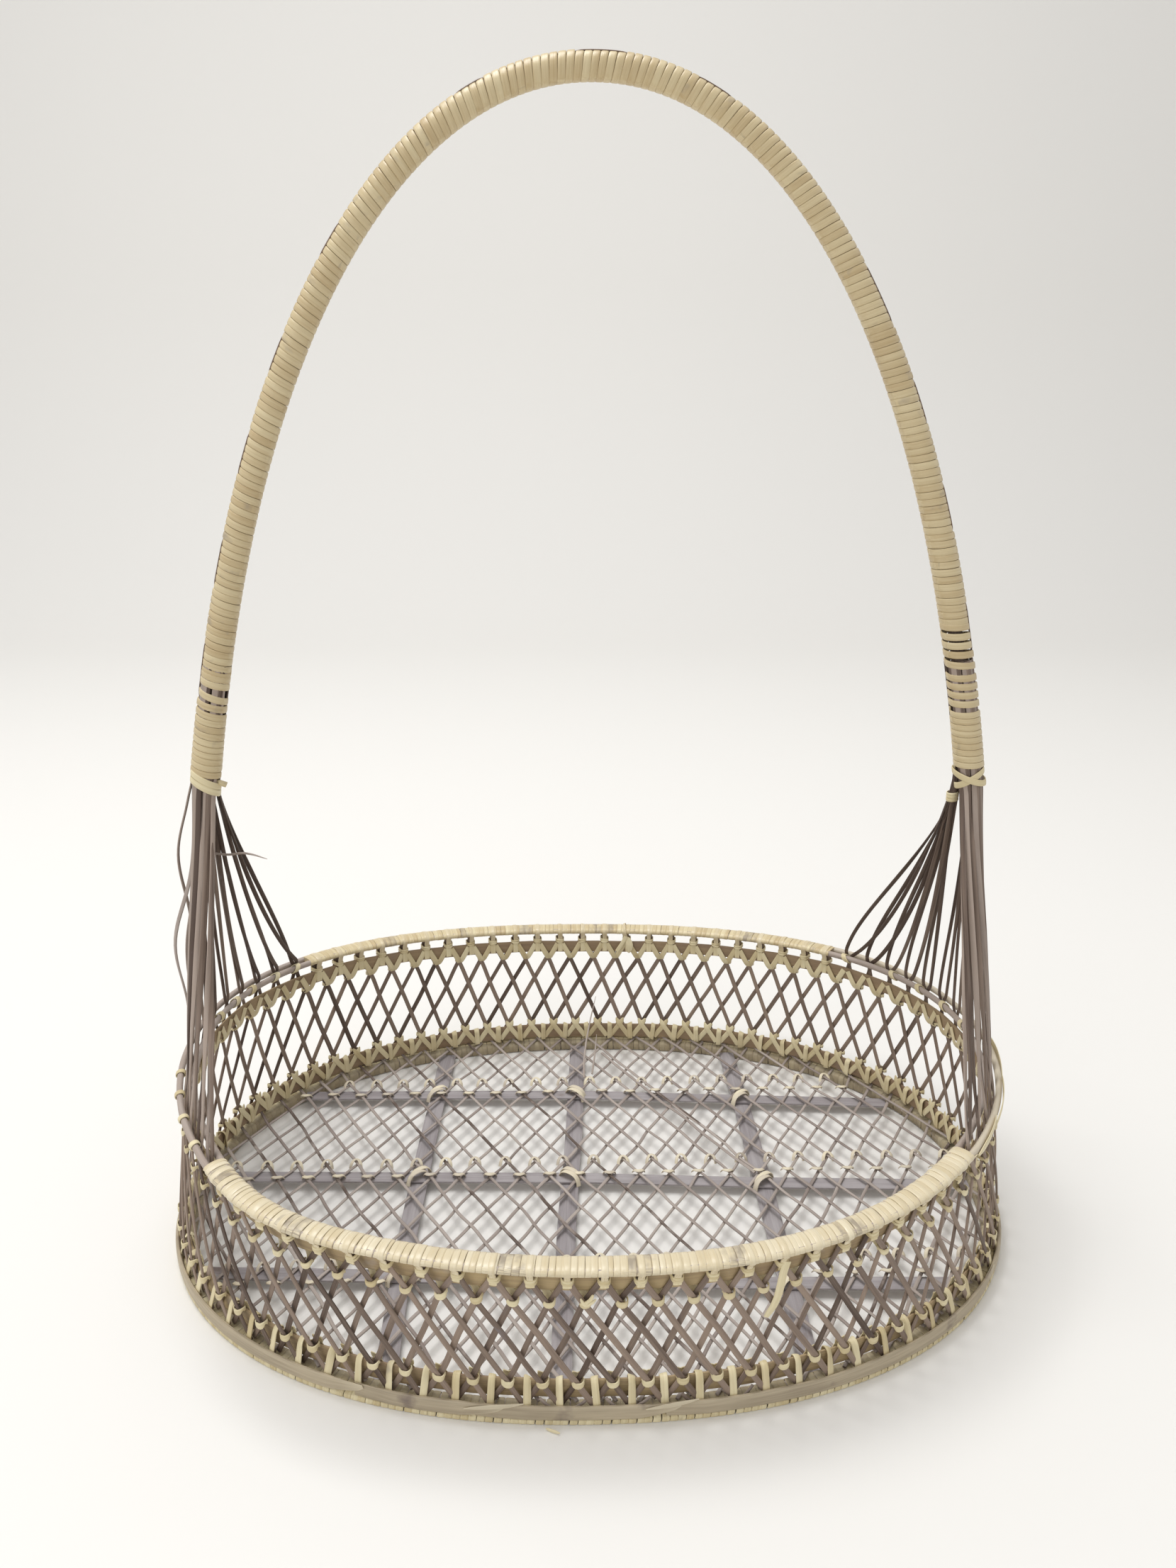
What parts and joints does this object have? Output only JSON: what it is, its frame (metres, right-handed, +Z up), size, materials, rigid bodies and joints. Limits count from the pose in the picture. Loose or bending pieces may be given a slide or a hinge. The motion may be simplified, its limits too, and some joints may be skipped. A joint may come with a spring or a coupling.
{
  "type": "rattan basket",
  "caption": "Shallow oval openwork rattan basket with a wrapped rim, a slatted lattice base and a tall fixed arch handle.",
  "frame": {"origin": "on the floor under the middle of the oval foot", "axes": "+X along the basket's length to the right, +Y to the back, +Z up"},
  "size_m": [0.451, 0.343, 0.5696],
  "materials": {
    "rod": "peeled rattan rod, weathered grey-brown, matt",
    "stake": "split cane, aged brown, matt to satin",
    "base_cane": "split cane, weathered mauve-grey, matt",
    "slat": "thin wood slat, bleached grey, matt",
    "pale_cane": "flat binding cane, pale yellow-green, satin",
    "rim_cane": "flat binding cane, cream, slightly glossy",
    "handle_cane": "flat binding cane, tan, satin",
    "foot_strip": "smooth cane strip, grey-beige, satin",
    "runner": "flat cane strip, dark brown, matt"
  },
  "bodies": {
    "root": {"base_stakes_lower": "base_cane", "base_stakes_upper": "base_cane", "cross_slat_left": "slat", "cross_slat_middle": "slat", "cross_slat_right": "slat", "foot_hoop": "rod", "foot_strip": "foot_strip", "foot_wrap": "pale_cane", "handle_collar_left": "handle_cane", "handle_collar_right": "handle_cane", "handle_core": "stake", "handle_runner": "runner", "handle_tie_left": "handle_cane", "handle_tie_right": "handle_cane", "handle_wrap": "handle_cane", "lashing_back_left": "pale_cane", "lashing_back_middle": "pale_cane", "lashing_back_right": "pale_cane", "lashing_front_left": "pale_cane", "lashing_front_middle": "pale_cane", "lashing_front_right": "pale_cane", "lashing_middle_left": "pale_cane", "lashing_middle_middle": "pale_cane", "lashing_middle_right": "pale_cane", "long_slat_back": "slat", "long_slat_front": "slat", "long_slat_middle": "slat", "lower_band": "rod", "lower_lacing": "pale_cane", "rim_rod_inner": "rod", "rim_rod_outer": "rod", "rim_wrap_back": "rim_cane", "rim_wrap_front": "rim_cane", "slat_knots_back": "pale_cane", "slat_knots_front": "pale_cane", "slat_knots_middle": "pale_cane", "stakes_back_inner": "stake", "stakes_back_outer": "stake", "stakes_front_inner": "stake", "stakes_front_outer": "stake", "stakes_left_inner": "stake", "stakes_left_outer": "stake", "stakes_right_inner": "stake", "stakes_right_outer": "stake", "upper_band": "rod", "upper_lacing": "pale_cane"}
  },
  "joints": []
}
